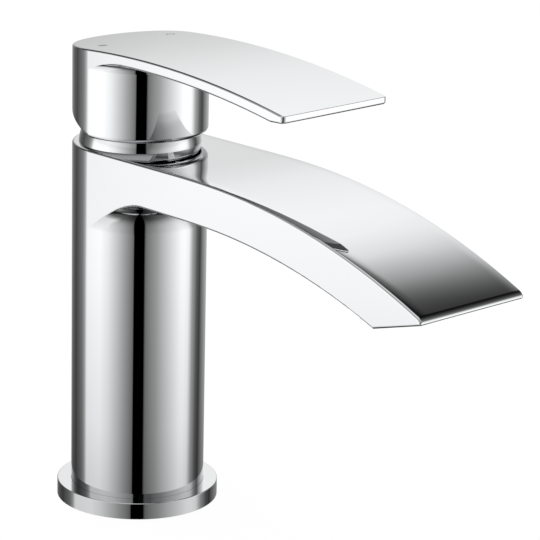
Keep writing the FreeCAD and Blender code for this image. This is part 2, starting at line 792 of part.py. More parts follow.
NODES = {
    "body_casting": body_casting,
    "base_flange": base_flange,
    "base_gasket": base_gasket,
    "flange_seal": flange_seal,
    "cover_ring": cover_ring,
    "retaining_nut": retaining_nut,
    "cartridge_housing": cartridge_housing,
    "housing_seal": housing_seal,
    "cartridge_base": cartridge_base,
    "inlet_seals": inlet_seals,
    "fixed_disc": fixed_disc,
    "moving_disc": moving_disc,
    "disc_carrier": disc_carrier,
    "turret": turret,
    "spindle_pin": spindle_pin,
    "spindle": spindle,
    "handle": handle,
    "grub_screw": grub_screw,
    "screw_plug": screw_plug,
    "hot_mark": lambda: mark(-1, 0),
    "cold_mark": lambda: mark(1, 0),
    "outlet_housing": outlet_housing,
    "outlet_seal": outlet_seal,
    "flow_straightener": flow_straightener,
}

os.makedirs("parts", exist_ok=True)
for name, build in NODES.items():
    shape = build()
    shape.exportStep(f"parts/{name}.step")
    print(f"{name}: {len(shape.Solids)} solid(s), {shape.Volume / 1000:.2f} cm3, valid {shape.isValid()}")
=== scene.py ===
"""Looks of a chrome basin mixer tap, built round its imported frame.

The tap's plated pieces get skins with the true normals of the surfaces they were made to, so
that the chrome mirrors cleanly. Every other piece keeps its solid and gets a finish of its own.
"""

import json
import logging
import math
from dataclasses import dataclass, field
from enum import Enum
from typing import Any, ClassVar, Sequence

import bmesh
import bpy
import numpy as np
from mathutils import Matrix, Vector

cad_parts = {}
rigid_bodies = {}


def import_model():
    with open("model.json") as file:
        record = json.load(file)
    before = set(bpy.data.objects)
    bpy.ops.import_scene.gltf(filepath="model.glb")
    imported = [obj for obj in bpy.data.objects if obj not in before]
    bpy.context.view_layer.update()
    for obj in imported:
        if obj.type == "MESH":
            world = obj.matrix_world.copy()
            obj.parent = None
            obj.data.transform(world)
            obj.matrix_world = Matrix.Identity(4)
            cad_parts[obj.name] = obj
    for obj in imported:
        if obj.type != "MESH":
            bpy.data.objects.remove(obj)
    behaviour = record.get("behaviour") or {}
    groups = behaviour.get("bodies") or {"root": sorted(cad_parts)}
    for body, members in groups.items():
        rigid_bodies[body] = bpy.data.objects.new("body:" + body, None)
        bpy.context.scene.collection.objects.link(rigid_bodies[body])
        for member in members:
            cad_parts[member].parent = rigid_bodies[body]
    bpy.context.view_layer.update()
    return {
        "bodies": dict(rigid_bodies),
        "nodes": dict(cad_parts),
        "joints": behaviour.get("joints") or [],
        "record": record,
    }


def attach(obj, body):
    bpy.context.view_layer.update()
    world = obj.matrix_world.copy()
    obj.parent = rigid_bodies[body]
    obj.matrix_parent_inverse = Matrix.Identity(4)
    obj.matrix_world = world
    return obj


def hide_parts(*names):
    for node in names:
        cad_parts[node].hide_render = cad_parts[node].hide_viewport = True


LOG = logging.getLogger("tap")
MM = 0.001
WHITE = "#FFFFFF"
# Points closer than the first are one point, and lengths under the second are nothing. Metres.
SAME_POINT = 1e-7
NO_LENGTH = 1e-8
# Shortest vector that can be scaled to a length of one.
LEAST_VECTOR = 1e-12
# Faces that bend less than this across their common edge lie flat with each other.
FLAT_BEND = math.radians(0.05)
# Largest bearing and height either way, in degrees.
BEARING_LIMIT = 180.0
HEIGHT_LIMIT = 90.0
# Factors that drop one axis of a vector.
NO_Y = np.array([1.0, 0.0, 1.0])
NO_Z = np.array([1.0, 1.0, 0.0])

Material = bpy.types.Material
Node = bpy.types.Node
Socket = bpy.types.NodeSocket
Tree = bpy.types.NodeTree
Frame = dict[str, Any]
# Places or angles, from low to high, each with the value there.
Stops = tuple[tuple[float, float], ...]


def linear(hex_code: str) -> tuple[float, float, float, float]:
    """Turn an sRGB hex colour into linear light.

    Args:
        hex_code: Colour such as "#C8CACC".

    Returns:
        Linear red, green, blue and an alpha of one.
    """
    shares = [int(hex_code[i:i + 2], 16) / 255 for i in (1, 3, 5)]
    light = [s / 12.92 if s <= 0.04045 else ((s + 0.055) / 1.055) ** 2.4 for s in shares]
    return light[0], light[1], light[2], 1.0


def add(tree: Tree, kind: str, links: dict[Any, Any] | None = None, **settings: Any) -> Node:
    """Add one node with its settings and links.

    Args:
        tree: Node tree that gets the node.
        kind: Blender's name for the kind of node.
        links: Input name or number to a socket, or to a plain value.
        settings: Attributes set on the node itself.

    Returns:
        The new node.
    """
    node = tree.nodes.new(kind)
    for name, value in settings.items():
        setattr(node, name, value)
    for key, value in (links or {}).items():
        if isinstance(value, Socket):
            tree.links.new(value, node.inputs[key])
        else:
            node.inputs[key].default_value = value
    return node


def set_ramp(node: Node, stops: Sequence[tuple[float, float]]) -> None:
    """Write grey stops into a colour ramp.

    Args:
        node: Colour ramp node.
        stops: Place from zero to one, and the grey light there, from low place to high.
    """
    elements = node.color_ramp.elements
    while len(elements) > 1:
        elements.remove(elements[-1])
    for index, (place, light) in enumerate(stops):
        element = elements[0] if index == 0 else elements.new(place)
        element.position = place
        element.color = (light, light, light, 1.0)


def new_tree(name: str) -> tuple[Material, Tree, Node, Socket]:
    """Start a material with one principled shader.

    Args:
        name: Material's name.

    Returns:
        The material, its node tree, the shader node and the object's own coordinates.
    """
    material = bpy.data.materials.new(name)
    material.use_nodes = True
    tree = material.node_tree
    tree.nodes.clear()
    shader = add(tree, "ShaderNodeBsdfPrincipled")
    add(tree, "ShaderNodeOutputMaterial", {"Surface": shader.outputs["BSDF"]})
    return material, tree, shader, add(tree, "ShaderNodeTexCoord").outputs["Object"]


def cycles_per_metre(size_mm: float) -> float:
    """Noise scale whose features are a real size in millimetres."""
    return 1.0 / (size_mm * MM)


class Sheen(Enum):
    """How a moulded surface was left."""

    MATTE = "matte"
    SATIN = "satin"
    GLOSS = "gloss"


SHEEN_ROUGHNESS = {Sheen.MATTE: 0.55, Sheen.SATIN: 0.34, Sheen.GLOSS: 0.16}


@dataclass(frozen=True)
class PolishedChrome:
    """Chrome plated over polished brass: a near perfect mirror with a hair of haze.

    The buffing under the plate leaves a very slight waviness a few millimetres long, and
    handling leaves faint haze, which only softens the sharpest mirror edges.
    """

    name: str = "chrome_plated_buffed"
    colour: str = "#DDDEDF"
    clear_roughness: float = 0.012
    hazed_roughness: float = 0.045
    haze_mm: float = 14.0
    haze_start: float = 0.35
    haze_full: float = 0.75
    wave_mm: float = 9.0
    wave_height_mm: float = 0.0006

    def material(self) -> Material:
        """Build the node material.

        Returns:
            The new material.
        """
        material, tree, shader, place = new_tree(self.name)
        shader.inputs["Base Color"].default_value = linear(self.colour)
        shader.inputs["Metallic"].default_value = 1.0
        haze = add(tree, "ShaderNodeTexNoise",
                   {"Vector": place, "Scale": cycles_per_metre(self.haze_mm), "Detail": 3.0})
        rough = add(tree, "ShaderNodeMapRange",
                    {"Value": haze.outputs["Fac"],
                     "From Min": self.haze_start, "From Max": self.haze_full,
                     "To Min": self.clear_roughness, "To Max": self.hazed_roughness})
        wave = add(tree, "ShaderNodeTexNoise",
                   {"Vector": place, "Scale": cycles_per_metre(self.wave_mm), "Detail": 0.0})
        bump = add(tree, "ShaderNodeBump",
                   {"Height": wave.outputs["Fac"], "Distance": self.wave_height_mm * MM,
                    "Strength": 1.0})
        tree.links.new(rough.outputs["Result"], shader.inputs["Roughness"])
        tree.links.new(bump.outputs["Normal"], shader.inputs["Normal"])
        return material


@dataclass(frozen=True)
class Patched:
    """Finish whose colour drifts between two shades in soft patches."""

    name: str
    colour: str
    shade: str

    patch_mm: ClassVar[float]
    patch_detail: ClassVar[float]

    def paint(self, tree: Tree, shader: Node, place: Socket) -> Socket:
        """Colour a shader in patches.

        Args:
            tree: The material's node tree.
            shader: Its principled shader.
            place: The object's own coordinates.

        Returns:
            Socket that carries the patches.
        """
        patches = add(tree, "ShaderNodeTexNoise",
                      {"Vector": place, "Scale": cycles_per_metre(self.patch_mm),
                       "Detail": self.patch_detail}).outputs["Fac"]
        tint = add(tree, "ShaderNodeMix",
                   {"Factor": patches, "A": linear(self.colour), "B": linear(self.shade)},
                   data_type="RGBA")
        tree.links.new(tint.outputs["Result"], shader.inputs["Base Color"])
        return patches


@dataclass(frozen=True)
class TurnedMetal(Patched):
    """Bare metal off the lathe or grinder: fine tool lines that spread its highlights."""

    roughness: float
    line_mm: float
    line_height_mm: float = 0.004

    patch_mm: ClassVar[float] = 6.0
    patch_detail: ClassVar[float] = 4.0

    def material(self) -> Material:
        """Build the node material.

        Returns:
            The new material.
        """
        material, tree, shader, place = new_tree(self.name)
        shader.inputs["Metallic"].default_value = 1.0
        shader.inputs["Roughness"].default_value = self.roughness
        self.paint(tree, shader, place)
        lines = add(tree, "ShaderNodeTexWave",
                    {"Vector": place, "Scale": cycles_per_metre(self.line_mm) / (2 * math.pi),
                     "Distortion": 1.5, "Detail": 2.0}, bands_direction="Z")
        bump = add(tree, "ShaderNodeBump",
                   {"Height": lines.outputs["Fac"], "Distance": self.line_height_mm * MM,
                    "Strength": 0.6})
        tree.links.new(bump.outputs["Normal"], shader.inputs["Normal"])
        return material


@dataclass(frozen=True)
class Grained(Patched):
    """Finish with a fine grain pressed into it by the tool that shaped it."""

    def press(self, tree: Tree, shader: Node, place: Socket, grain_mm: float,
              height_mm: float) -> None:
        """Press the grain into a shader's surface.

        Args:
            tree: The material's node tree.
            shader: Its principled shader.
            place: The object's own coordinates.
            grain_mm: Width of a grain.
            height_mm: Height of a grain.
        """
        grain = add(tree, "ShaderNodeTexNoise",
                    {"Vector": place, "Scale": cycles_per_metre(grain_mm), "Detail": 2.0})
        bump = add(tree, "ShaderNodeBump",
                   {"Height": grain.outputs["Fac"], "Distance": height_mm * MM, "Strength": 0.5})
        tree.links.new(bump.outputs["Normal"], shader.inputs["Normal"])


@dataclass(frozen=True)
class Moulded(Grained):
    """Moulded plastic or rubber: even colour with a soft mottle and a fine spark-eroded grain."""

    sheen: Sheen
    ior: float
    grain_mm: float = 0.35
    grain_height_mm: float = 0.006

    patch_mm: ClassVar[float] = 7.0
    patch_detail: ClassVar[float] = 3.0
    # How far the roughness drifts with the mottle, as a share of itself.
    drift_share: ClassVar[float] = 0.1

    def material(self) -> Material:
        """Build the node material.

        Returns:
            The new material.
        """
        material, tree, shader, place = new_tree(self.name)
        shader.inputs["IOR"].default_value = self.ior
        mottle = self.paint(tree, shader, place)
        even = SHEEN_ROUGHNESS[self.sheen]
        rough = add(tree, "ShaderNodeMapRange",
                    {"Value": mottle, "To Min": even * (1.0 - self.drift_share),
                     "To Max": even * (1.0 + self.drift_share)})
        tree.links.new(rough.outputs["Result"], shader.inputs["Roughness"])
        self.press(tree, shader, place, self.grain_mm, self.grain_height_mm)
        return material


@dataclass(frozen=True)
class CastMetal(Grained):
    """Metal left as it came from the die: a dull, faintly grained skin that swallows light."""

    roughness: float = 0.55
    grain_mm: float = 0.5
    grain_height_mm: float = 0.01

    patch_mm: ClassVar[float] = 8.0
    patch_detail: ClassVar[float] = 4.0

    def material(self) -> Material:
        """Build the node material.

        Returns:
            The new material.
        """
        material, tree, shader, place = new_tree(self.name)
        shader.inputs["Metallic"].default_value = 1.0
        shader.inputs["Roughness"].default_value = self.roughness
        self.paint(tree, shader, place)
        self.press(tree, shader, place, self.grain_mm, self.grain_height_mm)
        return material


class Finish(Enum):
    """The tap's finishes, named by the record's material slots, and the casting under the plate."""

    CHROME = "polished_chrome"
    CASTING = "casting_inside"
    BRASS = "turned_brass"
    STEEL = "bright_steel"
    RUBBER = "seal_rubber"
    WHITE_PLASTIC = "cartridge_plastic"
    DARK_PLASTIC = "carrier_plastic"
    GREY_PLASTIC = "grey_plastic"
    CERAMIC = "disc_ceramic"
    ENAMEL = "mark_enamel"


Finishes = dict[Finish, Material]

RECIPES = {
    Finish.CHROME: PolishedChrome(),
    # Zinc alloy as it left the die, inside the cap where no polish reaches: dull dark grey.
    Finish.CASTING: CastMetal("zinc_alloy_as_cast", "#6B6D70", "#55575A"),
    # Brass turned on a lathe: warm yellow with fine rings.
    Finish.BRASS: TurnedMetal("brass_lathe_turned", "#D9B56A", "#C79B4E",
                              roughness=0.28, line_mm=0.25),
    # Stainless steel ground to size: cool grey with short scratches.
    Finish.STEEL: TurnedMetal("stainless_steel_ground", "#C3C5C7", "#AFB2B5",
                              roughness=0.24, line_mm=0.15),
    # Nitrile rubber from a press mould: near black and dull.
    Finish.RUBBER: Moulded("nitrile_rubber_moulded", "#232324", "#1B1B1C", Sheen.MATTE, ior=1.52),
    # Acetal: waxy white with a low gloss.
    Finish.WHITE_PLASTIC: Moulded("acetal_white_moulded", "#E4E3DE", "#D8D7D1",
                                  Sheen.SATIN, ior=1.48),
    # Glass-filled nylon: dark grey, with a slightly rough skin.
    Finish.DARK_PLASTIC: Moulded("glass_filled_nylon_moulded", "#4A4D52", "#3E4145",
                                 Sheen.MATTE, ior=1.53),
    # ABS: light grey and fairly glossy.
    Finish.GREY_PLASTIC: Moulded("abs_grey_moulded", "#B4B7BA", "#A6A9AD", Sheen.GLOSS, ior=1.54),
    # Lapped alumina: clean white with a flat, fine surface.
    Finish.CERAMIC: Moulded("alumina_lapped", "#F0F0EB", "#E6E6E0", Sheen.SATIN, ior=1.76,
                            grain_mm=0.2, grain_height_mm=0.002),
    # Stoved enamel in a shallow pocket: dark grey and glossy.
    Finish.ENAMEL: Moulded("enamel_stoved", "#55585C", "#4A4D51", Sheen.GLOSS, ior=1.55,
                           grain_mm=0.6, grain_height_mm=0.002),
}


def unit(vectors: np.ndarray) -> np.ndarray:
    """Vectors scaled to a length of one."""
    lengths = np.linalg.norm(vectors, axis=-1, keepdims=True)
    return vectors / np.maximum(lengths, LEAST_VECTOR)


@dataclass(frozen=True)
class Flat:
    """Plane through a point."""

    point: tuple[float, float, float]
    facing: tuple[float, float, float]

    def miss(self, points: np.ndarray) -> np.ndarray:
        """Distance of each point from the surface."""
        return np.abs((points - np.array(self.point)) @ unit(np.array(self.facing)))

    def normal(self, points: np.ndarray) -> np.ndarray:
        """Outward normal at each point."""
        return np.broadcast_to(unit(np.array(self.facing)), points.shape)


@dataclass(frozen=True)
class Rounded:
    """Surface at one distance from a centre or a centre line; sense is -1 for a hollow one."""

    radius: float
    sense: float = field(default=1.0, kw_only=True)

    def offset(self, points: np.ndarray) -> np.ndarray:
        """Vector to each point from the centre, or the nearest place on the centre line."""
        raise NotImplementedError

    def miss(self, points: np.ndarray) -> np.ndarray:
        """Distance of each point from the surface."""
        return np.abs(np.linalg.norm(self.offset(points), axis=-1) - self.radius)

    def normal(self, points: np.ndarray) -> np.ndarray:
        """Outward normal at each point."""
        return self.sense * unit(self.offset(points))


@dataclass(frozen=True)
class UprightRound(Rounded):
    """Round wall about an upright axis."""

    x: float = 0.0
    y: float = 0.0

    def offset(self, points: np.ndarray) -> np.ndarray:
        """Vector to each point from the axis."""
        return (points - np.array([self.x, self.y, 0.0])) * NO_Z


@dataclass(frozen=True)
class LevelRound(Rounded):
    """Arched surface about a level axis across the tap."""

    x: float
    z: float

    def height_at(self, x: float) -> float:
        """Height of the upper half over a place along the tap."""
        return self.z + math.sqrt(self.radius ** 2 - (x - self.x) ** 2)

    def under(self, thickness: float) -> "LevelRound":
        """Underside of a plate that has this surface on top."""
        return LevelRound(self.radius - thickness, self.x, self.z, sense=-1.0)

    def offset(self, points: np.ndarray) -> np.ndarray:
        """Vector to each point from the axis."""
        return (points - np.array([self.x, 0.0, self.z])) * NO_Y


@dataclass(frozen=True)
class Ball(Rounded):
    """Sphere centred on the tap's axis."""

    z: float

    def offset(self, points: np.ndarray) -> np.ndarray:
        """Vector to each point from the centre."""
        return points - np.array([0.0, 0.0, self.z])


@dataclass(frozen=True)
class RoundedRing(Rounded):
    """Ring-shaped rounding whose centre line runs round the tap's axis."""

    centre_line_radius: float
    z: float

    def offset(self, points: np.ndarray) -> np.ndarray:
        """Vector to each point from the nearest place on the centre line."""
        centre = unit(points * NO_Z) * self.centre_line_radius + np.array([0.0, 0.0, self.z])
        return points - centre


Surface = Flat | Rounded


@dataclass
class PlatedSkin:
    """A plated piece's skin: its solid's mesh with the true normals of its surfaces."""

    node: str
    body: str
    surfaces: list[Surface]
    worn: tuple[Finish, ...] = (Finish.CHROME,)
    tolerance_mm: float = 0.004
    # Least cosine between a face and the surface it lies on, and between a rounding's faces.
    same_face: float = 0.9
    same_bend: float = 0.7

    def build(self, frame: Frame, finishes: Finishes) -> bpy.types.Object:
        """Make the skin, put it in the node's place and give it its finish.

        Args:
            finishes: Materials by finish.

        Returns:
            The new object.
        """
        mesh = frame["nodes"][self.node].data.copy()
        mesh.name = f"{self.node}_skin"
        shape = bmesh.new()
        shape.from_mesh(mesh)
        bmesh.ops.remove_doubles(shape, verts=shape.verts, dist=SAME_POINT)
        bmesh.ops.dissolve_degenerate(shape, edges=shape.edges, dist=NO_LENGTH)
        self.refine(shape)
        bmesh.ops.triangulate(shape, faces=shape.faces)
        shape.to_mesh(mesh)
        shape.free()
        mesh.materials.clear()
        for finish in self.worn:
            mesh.materials.append(finishes[finish])
        mesh.shade_smooth()
        normals = self.true_normals(mesh)
        self.settle(mesh, normals)
        mesh.normals_split_custom_set(normals.reshape(-1, 3).tolist())
        skin = bpy.data.objects.new(f"{self.node}_skin", mesh)
        bpy.context.scene.collection.objects.link(skin)
        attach(skin, self.body)
        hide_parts(self.node)
        return skin

    def refine(self, shape: bmesh.types.BMesh) -> None:
        """Change the skin's form before its normals are found; most keep their solid's."""

    def settle(self, mesh: bpy.types.Mesh, normals: np.ndarray) -> None:
        """Change the skin and its normals once they are known; most stay as they are."""

    def join_flat(self, shape: bmesh.types.BMesh, least_rise: float = -math.inf) -> None:
        """Join faces that lie flat with each other.

        Args:
            shape: The skin's form.
            least_rise: Only faces whose normals rise more than this are joined.
        """
        flat = [edge for edge in shape.edges if edge.calc_face_angle(0.0) < FLAT_BEND
                and all(face.normal.z > least_rise for face in edge.link_faces)]
        bmesh.ops.dissolve_limit(shape, angle_limit=FLAT_BEND, edges=flat)

    def true_normals(self, mesh: bpy.types.Mesh) -> np.ndarray:
        """Normal at every face corner, from the surface that the face lies on.

        A face on none of the surfaces is part of a small rounding: each of its corners takes
        the normal of the surface it runs into, or the mean of the rounding's own faces there.

        Args:
            mesh: Triangle mesh in metres.

        Returns:
            Normals by face, corner and axis.
        """
        points = np.array([v.co for v in mesh.vertices], float) / MM
        faces = np.array([p.vertices[:] for p in mesh.polygons], int)
        corners = points[faces]
        cross = np.cross(corners[:, 1] - corners[:, 0], corners[:, 2] - corners[:, 0])
        facing = unit(cross)
        normals = np.repeat(facing[:, None, :], 3, axis=1)
        known = np.zeros(len(faces), bool)
        for surface in self.surfaces:
            near = (surface.miss(points) < self.tolerance_mm)[faces].all(axis=1)
            agree = (surface.normal(corners.mean(axis=1)) * facing).sum(axis=1)
            chosen = near & (agree > self.same_face) & ~known
            normals[chosen] = surface.normal(corners[chosen])
            known |= chosen
        at_point: dict[int, list[tuple[int, int]]] = {}
        for face, row in enumerate(faces):
            for corner, vertex in enumerate(row):
                at_point.setdefault(int(vertex), []).append((face, corner))
        for face in np.flatnonzero(~known):
            for corner, vertex in enumerate(faces[face]):
                normals[face, corner] = self.rounding_normal(
                    at_point[int(vertex)], face, facing, cross, normals, known)
        return normals

    def rounding_normal(self, around: list[tuple[int, int]], face: int, facing: np.ndarray,
                        cross: np.ndarray, normals: np.ndarray, known: np.ndarray) -> np.ndarray:
        """Normal of one corner of a small rounding.

        Args:
            around: Faces and corners that meet at the corner's point.
            face: The rounding's face.
            facing: Unit normal of every face.
            cross: Normal of every face, as long as twice its area.
            normals: Corner normals found so far.
            known: Which faces lie on a true surface.

        Returns:
            The corner's normal.
        """
        best, closest = None, self.same_bend
        total = np.zeros(3)
        for other, corner in around:
            if known[other]:
                agree = float(normals[other, corner] @ facing[face])
                if agree > closest:
                    best, closest = normals[other, corner], agree
            elif float(facing[other] @ facing[face]) > self.same_bend:
                total += cross[other]
        return best if best is not None else unit(total)


@dataclass(kw_only=True)
class BodySkin(PlatedSkin):
    """The body's skin: buffing has rolled the spout's top off towards its long edges.

    Sizes are in millimetres across the spout and the lean is in degrees.
    """

    tops: Sequence[Surface]
    cuts: tuple[float, ...] = (16.5, 17.6, 18.6, 19.5, 20.2)
    flat_half: float = 16.5
    edge_half: float = 20.7
    edge_lean: float = 3.5
    rim_depth: float = 0.9
    # A normal of the top rises more than the first and leans across less than the second.
    top_rise: float = 0.8
    level_across: float = 0.05

    def refine(self, shape: bmesh.types.BMesh) -> None:
        """Cut the top into strips along its edges, so that it can bend there.

        Args:
            shape: The skin's form.
        """
        self.join_flat(shape, self.top_rise)
        shape.normal_update()
        for y in self.cuts + tuple(-y for y in self.cuts):
            top = [face for face in shape.faces if face.normal.z > self.top_rise]
            edges = {edge for face in top for edge in face.edges}
            verts = {vert for face in top for vert in face.verts}
            bmesh.ops.bisect_plane(shape, geom=[*verts, *edges, *top], dist=NO_LENGTH,
                                   plane_co=(0.0, y * MM, 0.0), plane_no=(0.0, 1.0, 0.0))

    def settle(self, mesh: bpy.types.Mesh, normals: np.ndarray) -> None:
        """Lower the top by hundredths towards its edges and lean its normals to match.

        The lean grows with the square of the way to the edge, so a point sinks by a third of
        what its lean would give over the same way.

        Args:
            mesh: The skin's mesh in metres.
            normals: Normals by face, corner and axis, changed in place.
        """
        points = np.array([v.co for v in mesh.vertices], float) / MM
        faces = np.array([p.vertices[:] for p in mesh.polygons], int)
        width = self.edge_half - self.flat_half
        share = np.clip((np.abs(points[:, 1]) - self.flat_half) / width, 0.0, 1.0)
        lean = math.radians(self.edge_lean) * share ** 2
        rim = np.min([top.miss(points) for top in self.tops], axis=0) < self.rim_depth
        level = np.abs(normals[..., 1]) < self.level_across
        leaning = rim[faces] & level & (normals[..., 2] > self.top_rise)
        outward = (np.sign(points[:, 1]) * np.tan(lean))[faces]
        normals[..., 1] += np.where(leaning, outward, 0.0)
        normals[:] = unit(normals)
        for index in np.flatnonzero(rim):
            mesh.vertices[index].co.z -= lean[index] * share[index] * width / 3 * MM


@dataclass(kw_only=True)
class HandleSkin(PlatedSkin):
    """The handle's skin: lower edges eased, front edge ground sharp, a dull inside. Millimetres."""

    half_width: float
    reach: float
    corner: float
    top: LevelRound
    worn: tuple[Finish, ...] = (Finish.CHROME, Finish.CASTING)
    top_edge: float = 0.7
    front_edge: float = 0.2
    edge_slack: float = 0.1
    ease: float = 0.8
    ease_steps: int = 4
    ease_from_x: float = 14.0
    ease_above: float = 140.0
    # An underside's normal falls past the first, and a wall's rises or falls less than the second.
    under_fall: float = -0.5
    wall_rise: float = 0.02
    inside_radius: float = 20.02
    ceiling: float = 144.5

    def refine(self, shape: bmesh.types.BMesh) -> None:
        """Sharpen the front, ease the lower edges and mark the faces inside the cap.

        Args:
            shape: The skin's form.
        """
        for vertex in shape.verts:
            vertex.co += self.front_shift(vertex.co / MM) * MM
        self.join_flat(shape)
        bmesh.ops.bevel(shape, geom=[edge for edge in shape.edges if self.is_lower(edge)],
                        offset=self.ease * MM, offset_type="OFFSET", segments=self.ease_steps,
                        profile=0.5, affect="EDGES", clamp_overlap=False)
        shape.normal_update()
        for face in shape.faces:
            middle = face.calc_center_median() / MM
            if middle.xy.length < self.inside_radius and middle.z < self.ceiling:
                face.material_index = self.worn.index(Finish.CASTING)

    def front_shift(self, place: Vector) -> Vector:
        """How far a point of the top edge's rounding moves where the front is sharper.

        Args:
            place: The point.

        Returns:
            Its shift; nothing for a point that is not on the front's rounding.
        """
        past_x = max(place.x - self.reach + self.corner, 0.0)
        past_y = max(abs(place.y) - self.half_width + self.corner, 0.0)
        out = Vector((past_x, math.copysign(past_y, place.y), 0.0))
        inside = self.corner - out.length
        height = self.top.height_at(place.x)
        if (out.x <= 0.0 or inside > self.top_edge
                or height - place.z > self.top_edge + self.edge_slack):
            return Vector()
        out.normalize()
        up = Vector((place.x - self.top.x, 0.0, height - self.top.z)) / self.top.radius
        cosine = min(1.0 - inside / self.top_edge, 1.0)
        normal = cosine * out + Vector((0.0, 0.0, math.sqrt(1.0 - cosine ** 2)))
        meet = out + Vector((0.0, 0.0, (1.0 - out.dot(up)) / up.z))
        return (self.top_edge - self.front_edge) * out.x ** 2 * (meet - normal)

    def is_lower(self, edge: bmesh.types.BMEdge) -> bool:
        """Whether an edge is one of the lever's lower outer edges.

        Args:
            edge: An edge of the skin.

        Returns:
            True where the underside meets an outer wall.
        """
        middle = (edge.verts[0].co + edge.verts[1].co) / (2 * MM)
        lowest, highest = sorted(face.normal.z for face in edge.link_faces)
        outer = (abs(middle.y) > self.half_width - self.corner
                 or middle.x > self.reach - self.corner)
        along = middle.x > self.ease_from_x and middle.z > self.ease_above
        return outer and along and lowest < self.under_fall and abs(highest) < self.wall_rise


class SubAssembly:
    """A group of pieces: skins for the plated ones and finishes for the rest."""

    def skins(self) -> list[PlatedSkin]:
        """Skins of the plated pieces."""
        return []

    def solids(self) -> dict[str, Finish]:
        """Pieces that keep their solids, and the finish of each."""
        return {}

    def build(self, frame: Frame, finishes: Finishes) -> None:
        """Dress the solids and make the skins.

        Args:
            finishes: Materials by finish.
        """
        for name, finish in self.solids().items():
            mesh = frame["nodes"][name].data
            mesh.materials.clear()
            mesh.materials.append(finishes[finish])
            LOG.info("dressed %s in %s", name, finish.value)
        for skin in self.skins():
            made = skin.build(frame, finishes)
            LOG.info("plated %s as %s", skin.node, made.name)


@dataclass
class TapBody(SubAssembly):
    """Column with its arched spout, flange and domed ring. Millimetres and degrees."""

    column_radius: float = 21.5
    crown_x: float = 44.4
    crown_height: float = 118.5
    straight_end_x: float = 41.0
    spout_reach: float = 145.6
    spout_thickness: float = 13.8
    shoulder_radius_share: float = 2.585
    nose_radius_share: float = 1.632
    nose_start_share: float = 0.373
    blade_thickness: float = 1.6
    outlet_angle: float = 16.0
    flare_radius: float = 12.0
    flare_lap: float = 0.05
    tip_radius: float = 3.0
    flange_radius: float = 26.0
    flange_height: float = 5.3
    flange_edge_radius: float = 0.3
    dome_radius: float = 19.55
    dome_wall: float = 1.3
    dome_top_height: float = 130.9
    pivot_height: float = 115.9

    def tops(self) -> tuple[LevelRound, LevelRound, Flat]:
        """Surfaces of the spout's top.

        Returns:
            The shoulder's arch, the nose's arch and the straight stretch at the root.
        """
        radius = self.shoulder_radius_share * self.spout_reach
        inset = radius - self.nose_radius_share * self.spout_reach
        bend = math.asin((self.nose_start_share * self.spout_reach - self.crown_x) / radius)
        rise = math.asin((self.straight_end_x - self.crown_x) / radius)
        shoulder = LevelRound(radius, self.crown_x, self.crown_height - radius)
        nose = LevelRound(radius - inset, shoulder.x + inset * math.sin(bend),
                          shoulder.z + inset * math.cos(bend))
        straight = Flat((self.straight_end_x, 0.0, shoulder.height_at(self.straight_end_x)),
                        (math.sin(rise), 0.0, math.cos(rise)))
        return shoulder, nose, straight

    def casting_surfaces(self) -> list[Surface]:
        """True outer surfaces of the body casting.

        Returns:
            The column, the spout's top, sides and underside, the tip and the flare.
        """
        shoulder, nose, straight = self.tops()
        roll_x = self.spout_reach - self.tip_radius
        roll = LevelRound(nose.radius - self.tip_radius, nose.x, nose.z)
        blade_z = nose.height_at(self.spout_reach) - self.blade_thickness
        under_z = self.crown_height - self.spout_thickness
        lean = math.radians(self.outlet_angle)
        return [
            UprightRound(self.column_radius),
            shoulder,
            nose,
            straight,
            Flat((0.0, self.column_radius, 0.0), (0.0, 1.0, 0.0)),
            Flat((0.0, -self.column_radius, 0.0), (0.0, -1.0, 0.0)),
            shoulder.under(self.spout_thickness),
            nose.under(self.spout_thickness),
            Flat((0.0, 0.0, under_z), (0.0, 0.0, -1.0)),
            Flat((self.spout_reach, 0.0, blade_z), (math.sin(lean), 0.0, -math.cos(lean))),
            LevelRound(self.tip_radius, roll_x, roll.height_at(roll_x)),
            RoundedRing(self.flare_radius, self.column_radius + self.flare_radius,
                        under_z + self.flare_lap - self.flare_radius, sense=-1.0),
        ]

    def skins(self) -> list[PlatedSkin]:
        """Skins of the plated pieces.

        Returns:
            The casting, the flange and the domed ring.
        """
        edge = self.flange_edge_radius
        flange = [
            UprightRound(self.flange_radius),
            Flat((0.0, 0.0, self.flange_height), (0.0, 0.0, 1.0)),
            Flat((0.0, 0.0, 0.0), (0.0, 0.0, -1.0)),
            RoundedRing(edge, self.flange_radius - edge, self.flange_height - edge),
        ]
        dome = [
            Ball(self.dome_radius, self.pivot_height),
            Ball(self.dome_radius - self.dome_wall, self.pivot_height, sense=-1.0),
            Flat((0.0, 0.0, self.dome_top_height), (0.0, 0.0, 1.0)),
        ]
        return [
            BodySkin("body_casting", "base", self.casting_surfaces(), tops=self.tops()),
            PlatedSkin("base_flange", "base", flange),
            PlatedSkin("cover_ring", "base", dome),
        ]

    def solids(self) -> dict[str, Finish]:
        """Pieces that keep their solids, and the finish of each."""
        return {
            "base_gasket": Finish.RUBBER,
            "flange_seal": Finish.RUBBER,
            "outlet_housing": Finish.GREY_PLASTIC,
            "outlet_seal": Finish.RUBBER,
            "flow_straightener": Finish.WHITE_PLASTIC,
        }


